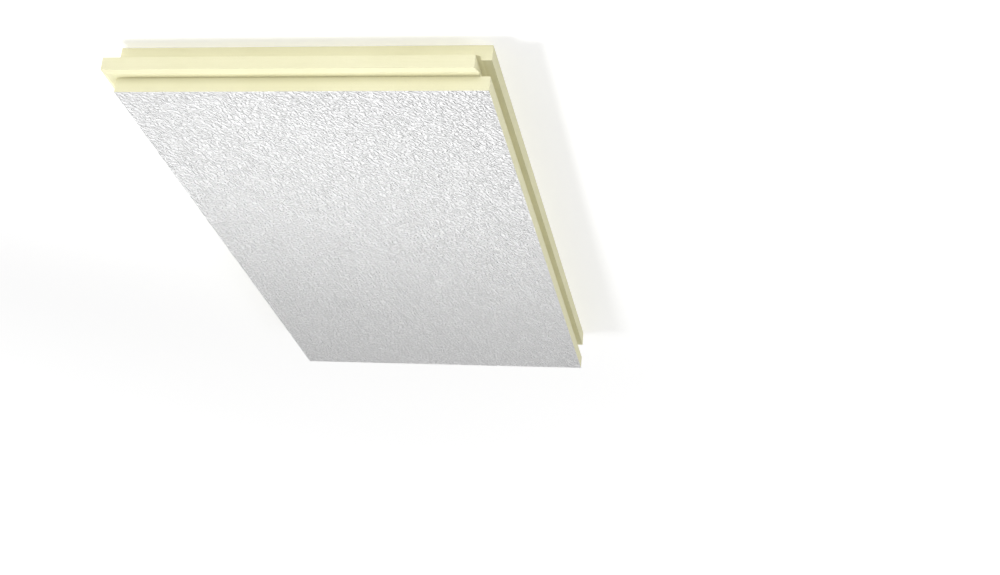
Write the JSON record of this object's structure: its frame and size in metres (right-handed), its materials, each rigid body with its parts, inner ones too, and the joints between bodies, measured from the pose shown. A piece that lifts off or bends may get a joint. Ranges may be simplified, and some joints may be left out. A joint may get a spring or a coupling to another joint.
{
  "type": "polyurethane insulation board",
  "caption": "Rectangular rigid foam board with a white embossed facing, for insulating ceilings and roofs; tongues on two adjacent edges push into grooves on the other two.",
  "frame": {"origin": "centre of the back face's 600 by 1200 mm covering area, on the surface that the board lies on", "axes": "+Z through the thickness, from the plain back face to the white face; +Y along the length, from the tongued end to the grooved end; +X towards the tongued long side"},
  "size_m": [0.62, 1.22, 0.08],
  "materials": {
    "foam": "cut closed-cell foam, matte",
    "white_facing": "white lacquer on stucco-embossed aluminium, low sheen",
    "back_facing": "plain aluminium foil, satin"
  },
  "bodies": {
    "root": {"foam_core": "foam", "white_facing": "white_facing", "back_facing": "back_facing"}
  },
  "joints": []
}
